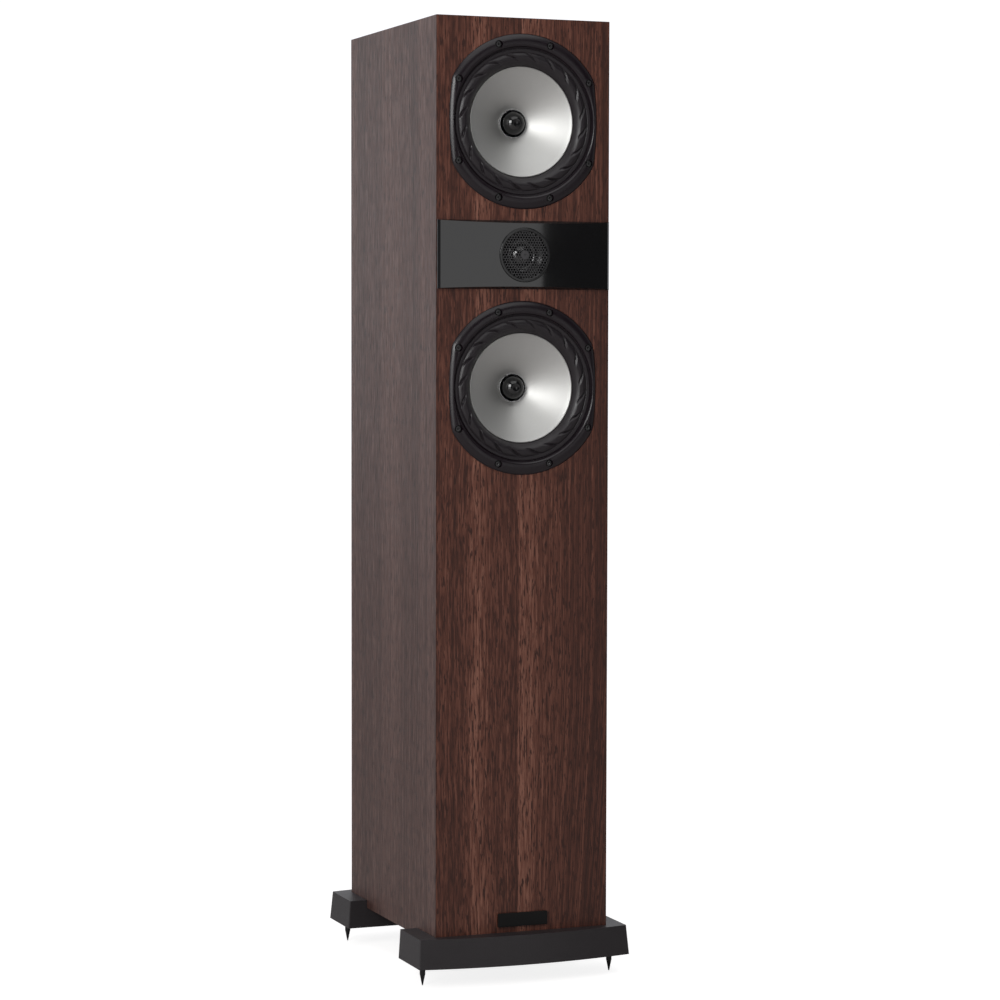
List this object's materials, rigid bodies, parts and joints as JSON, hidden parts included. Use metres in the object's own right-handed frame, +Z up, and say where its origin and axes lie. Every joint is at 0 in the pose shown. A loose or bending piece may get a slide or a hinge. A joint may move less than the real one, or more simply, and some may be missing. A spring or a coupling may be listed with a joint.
{
  "type": "floorstanding loudspeaker",
  "caption": "Slim floorstanding loudspeaker: a walnut-veneered cabinet with woofers above and below a tweeter panel, standing on bowed plinth bars with levelling spikes.",
  "frame": {"origin": "on the floor, under the middle of the cabinet", "axes": "+Z up, the drivers face -Y, +X to the right for someone facing the drivers"},
  "size_m": [0.2392, 0.3306, 1.0174],
  "materials": {
    "walnut_veneer": "satin lacquered walnut veneer, grain along the height",
    "raw_board": "raw fibreboard",
    "badge_black": "satin black, blank",
    "driver_frame": "cast, satin black paint",
    "surround_rubber": "matt black, diagonally fluted",
    "silver_cone": "satin silver",
    "copper": "enamelled copper winding",
    "spider_cloth": "resin-stiffened woven cloth",
    "plug_black": "polished black",
    "motor_steel": "zinc-plated turned steel",
    "ferrite": "ground ferrite",
    "gloss_black": "piano black",
    "bezel_black": "satin black ring",
    "grille_black": "perforated, satin black",
    "dome_black": "coated, semi-gloss",
    "charcoal_bar": "cast, fine charcoal powder coat",
    "spike_black": "black oxide, threaded",
    "brass": "turned, light plating",
    "moulded_black": "fine-textured moulding",
    "knob_red": "translucent red over metal",
    "knob_black": "smoked black over metal",
    "circuit_board": "solder-masked board",
    "capacitor_sleeve": "shrink sleeve",
    "wire_sleeve": "sleeved cable",
    "wadding": "loose polyester fibre"
  },
  "bodies": {
    "root": {"front_baffle": "walnut_veneer", "left_side_panel": "walnut_veneer", "right_side_panel": "walnut_veneer", "top_panel": "walnut_veneer", "back_panel": "walnut_veneer", "bottom_panel": "raw_board", "upper_brace": "raw_board", "lower_brace": "raw_board", "badge_plate": "badge_black", "upper_woofer_basket": "driver_frame", "upper_woofer_surround": "surround_rubber", "upper_woofer_spider": "spider_cloth", "upper_woofer_phase_plug": "plug_black", "upper_woofer_top_plate": "motor_steel", "upper_woofer_yoke": "motor_steel", "upper_woofer_magnet": "ferrite", "lower_woofer_basket": "driver_frame", "lower_woofer_surround": "surround_rubber", "lower_woofer_spider": "spider_cloth", "lower_woofer_phase_plug": "plug_black", "lower_woofer_top_plate": "motor_steel", "lower_woofer_yoke": "motor_steel", "lower_woofer_magnet": "ferrite", "tweeter_panel": "gloss_black", "tweeter_bezel": "bezel_black", "tweeter_grille": "grille_black", "tweeter_faceplate": "driver_frame", "tweeter_top_plate": "motor_steel", "tweeter_yoke": "motor_steel", "tweeter_magnet": "ferrite", "front_plinth_bar": "charcoal_bar", "rear_plinth_bar": "charcoal_bar", "front_left_threaded_insert": "brass", "front_right_threaded_insert": "brass", "rear_left_threaded_insert": "brass", "rear_right_threaded_insert": "brass", "port_tube": "moulded_black", "terminal_cup": "moulded_black", "positive_post_stud": "brass", "negative_post_stud": "brass", "crossover_board": "circuit_board", "woofer_inductor": "copper", "tweeter_inductor": "copper", "tweeter_capacitor": "capacitor_sleeve", "wiring_harness": "wire_sleeve", "damping_wadding": "wadding"},
    "upper_cone_assembly": {"upper_woofer_cone": "silver_cone", "upper_woofer_voice_coil": "copper"},
    "lower_cone_assembly": {"lower_woofer_cone": "silver_cone", "lower_woofer_voice_coil": "copper"},
    "tweeter_dome_assembly": {"tweeter_dome": "dome_black", "tweeter_voice_coil": "copper"},
    "front_left_foot": {"front_left_spike": "spike_black"},
    "front_right_foot": {"front_right_spike": "spike_black"},
    "rear_left_foot": {"rear_left_spike": "spike_black"},
    "rear_right_foot": {"rear_right_spike": "spike_black"},
    "positive_clamp": {"positive_post_washer": "brass"},
    "positive_knob": {"positive_post_knob": "knob_red"},
    "negative_clamp": {"negative_post_washer": "brass"},
    "negative_knob": {"negative_post_knob": "knob_black"}
  },
  "joints": [
    {"name": "upper_cone_travel", "type": "slide", "parent": "root", "child": "upper_cone_assembly", "axis": [0, -1, 0], "range_m": [-0.006, 0.006], "stiffness_N_per_m": 1200, "deforming": ["upper_woofer_surround", "upper_woofer_spider"]},
    {"name": "lower_cone_travel", "type": "slide", "parent": "root", "child": "lower_cone_assembly", "axis": [0, -1, 0], "range_m": [-0.006, 0.006], "stiffness_N_per_m": 1200, "deforming": ["lower_woofer_surround", "lower_woofer_spider"]},
    {"name": "tweeter_dome_travel", "type": "slide", "parent": "root", "child": "tweeter_dome_assembly", "axis": [0, -1, 0], "range_m": [-0.0003, 0.0003], "stiffness_N_per_m": 1000},
    {"name": "front_left_spike_screw", "type": "slide", "parent": "root", "child": "front_left_foot", "axis": [0, 0, -1], "range_m": [0, 0.008]},
    {"name": "front_right_spike_screw", "type": "slide", "parent": "root", "child": "front_right_foot", "axis": [0, 0, -1], "range_m": [0, 0.008]},
    {"name": "rear_left_spike_screw", "type": "slide", "parent": "root", "child": "rear_left_foot", "axis": [0, 0, -1], "range_m": [0, 0.008]},
    {"name": "rear_right_spike_screw", "type": "slide", "parent": "root", "child": "rear_right_foot", "axis": [0, 0, -1], "range_m": [0, 0.008]},
    {"name": "positive_clamp_slide", "type": "slide", "parent": "root", "child": "positive_clamp", "axis": [0, 1, 0], "range_m": [0, 0.004]},
    {"name": "positive_knob_turn", "type": "hinge", "parent": "positive_clamp", "child": "positive_knob", "pos_m": [0.019, 0.135, 0.2], "axis": [0, 1, 0], "range_deg": [0, 1440]},
    {"name": "negative_clamp_slide", "type": "slide", "parent": "root", "child": "negative_clamp", "axis": [0, 1, 0], "range_m": [0, 0.004]},
    {"name": "negative_knob_turn", "type": "hinge", "parent": "negative_clamp", "child": "negative_knob", "pos_m": [-0.019, 0.135, 0.2], "axis": [0, 1, 0], "range_deg": [0, 1440]}
  ],
  "couplings": [
    {"joint": "positive_knob_turn", "follows": "positive_clamp_slide", "rad_per_m": 6283.2},
    {"joint": "negative_knob_turn", "follows": "negative_clamp_slide", "rad_per_m": 6283.2}
  ]
}
